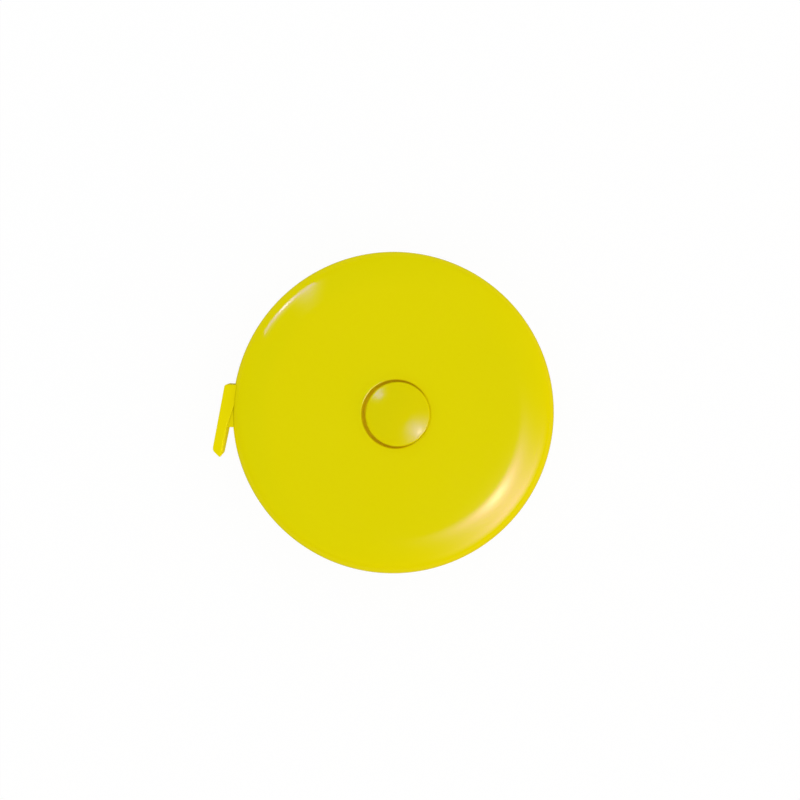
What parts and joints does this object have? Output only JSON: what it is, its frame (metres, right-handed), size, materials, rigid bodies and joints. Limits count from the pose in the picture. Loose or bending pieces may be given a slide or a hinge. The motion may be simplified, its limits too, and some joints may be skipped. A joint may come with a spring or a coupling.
{
  "type": "retractable cloth tape measure",
  "caption": "Round palm-sized sewing tape measure: a spring reel in a two-shell case winds a cloth tape with a pull tab back when the centre button is pressed.",
  "frame": {"origin": "centre of the flat back face that the case lies on, on the reel's axis", "axes": "+Z out of the face with the button, along the reel's axis; -X towards the pull tab; +Y up in the picture"},
  "size_m": [0.0529, 0.05, 0.0139],
  "materials": {
    "yellow_plastic": "gloss moulded",
    "white_plastic": "satin moulded",
    "black_rubber": "matt",
    "spring_steel": "bright rolled",
    "printed_tape": "coated woven cloth, printed"
  },
  "bodies": {
    "case": {"back_shell": "yellow_plastic", "front_shell": "yellow_plastic", "mainspring": "spring_steel", "button_spring": "spring_steel"},
    "reel": {"reel": "white_plastic", "reel_cap": "white_plastic", "tape_coil": "printed_tape", "tape_anchor": "white_plastic"},
    "button": {"push_button": "yellow_plastic", "brake_plunger": "white_plastic", "brake_ring": "black_rubber"},
    "tape_end": {"pull_tab": "yellow_plastic", "tape_lead": "printed_tape"}
  },
  "joints": [
    {"name": "button_press", "type": "slide", "parent": "case", "child": "button", "axis": [0, 0, -1], "range_m": [0, 0.0012], "stiffness_N_per_m": 1500, "springref_m": -0.0005, "deforming": ["button_spring"]},
    {"name": "reel_spin", "type": "hinge", "parent": "case", "child": "reel", "pos_m": [0, 0, 0], "axis": [0, 0, 1], "range_deg": [0, 5184], "deforming": ["mainspring"]},
    {"name": "tape_pull", "type": "slide", "parent": "case", "child": "tape_end", "axis": [-0.5448, -0.8386, 0], "range_m": [0, 1.5]}
  ],
  "couplings": [
    {"joint": "tape_pull", "follows": "reel_spin", "m_per_rad": 0.016575}
  ]
}
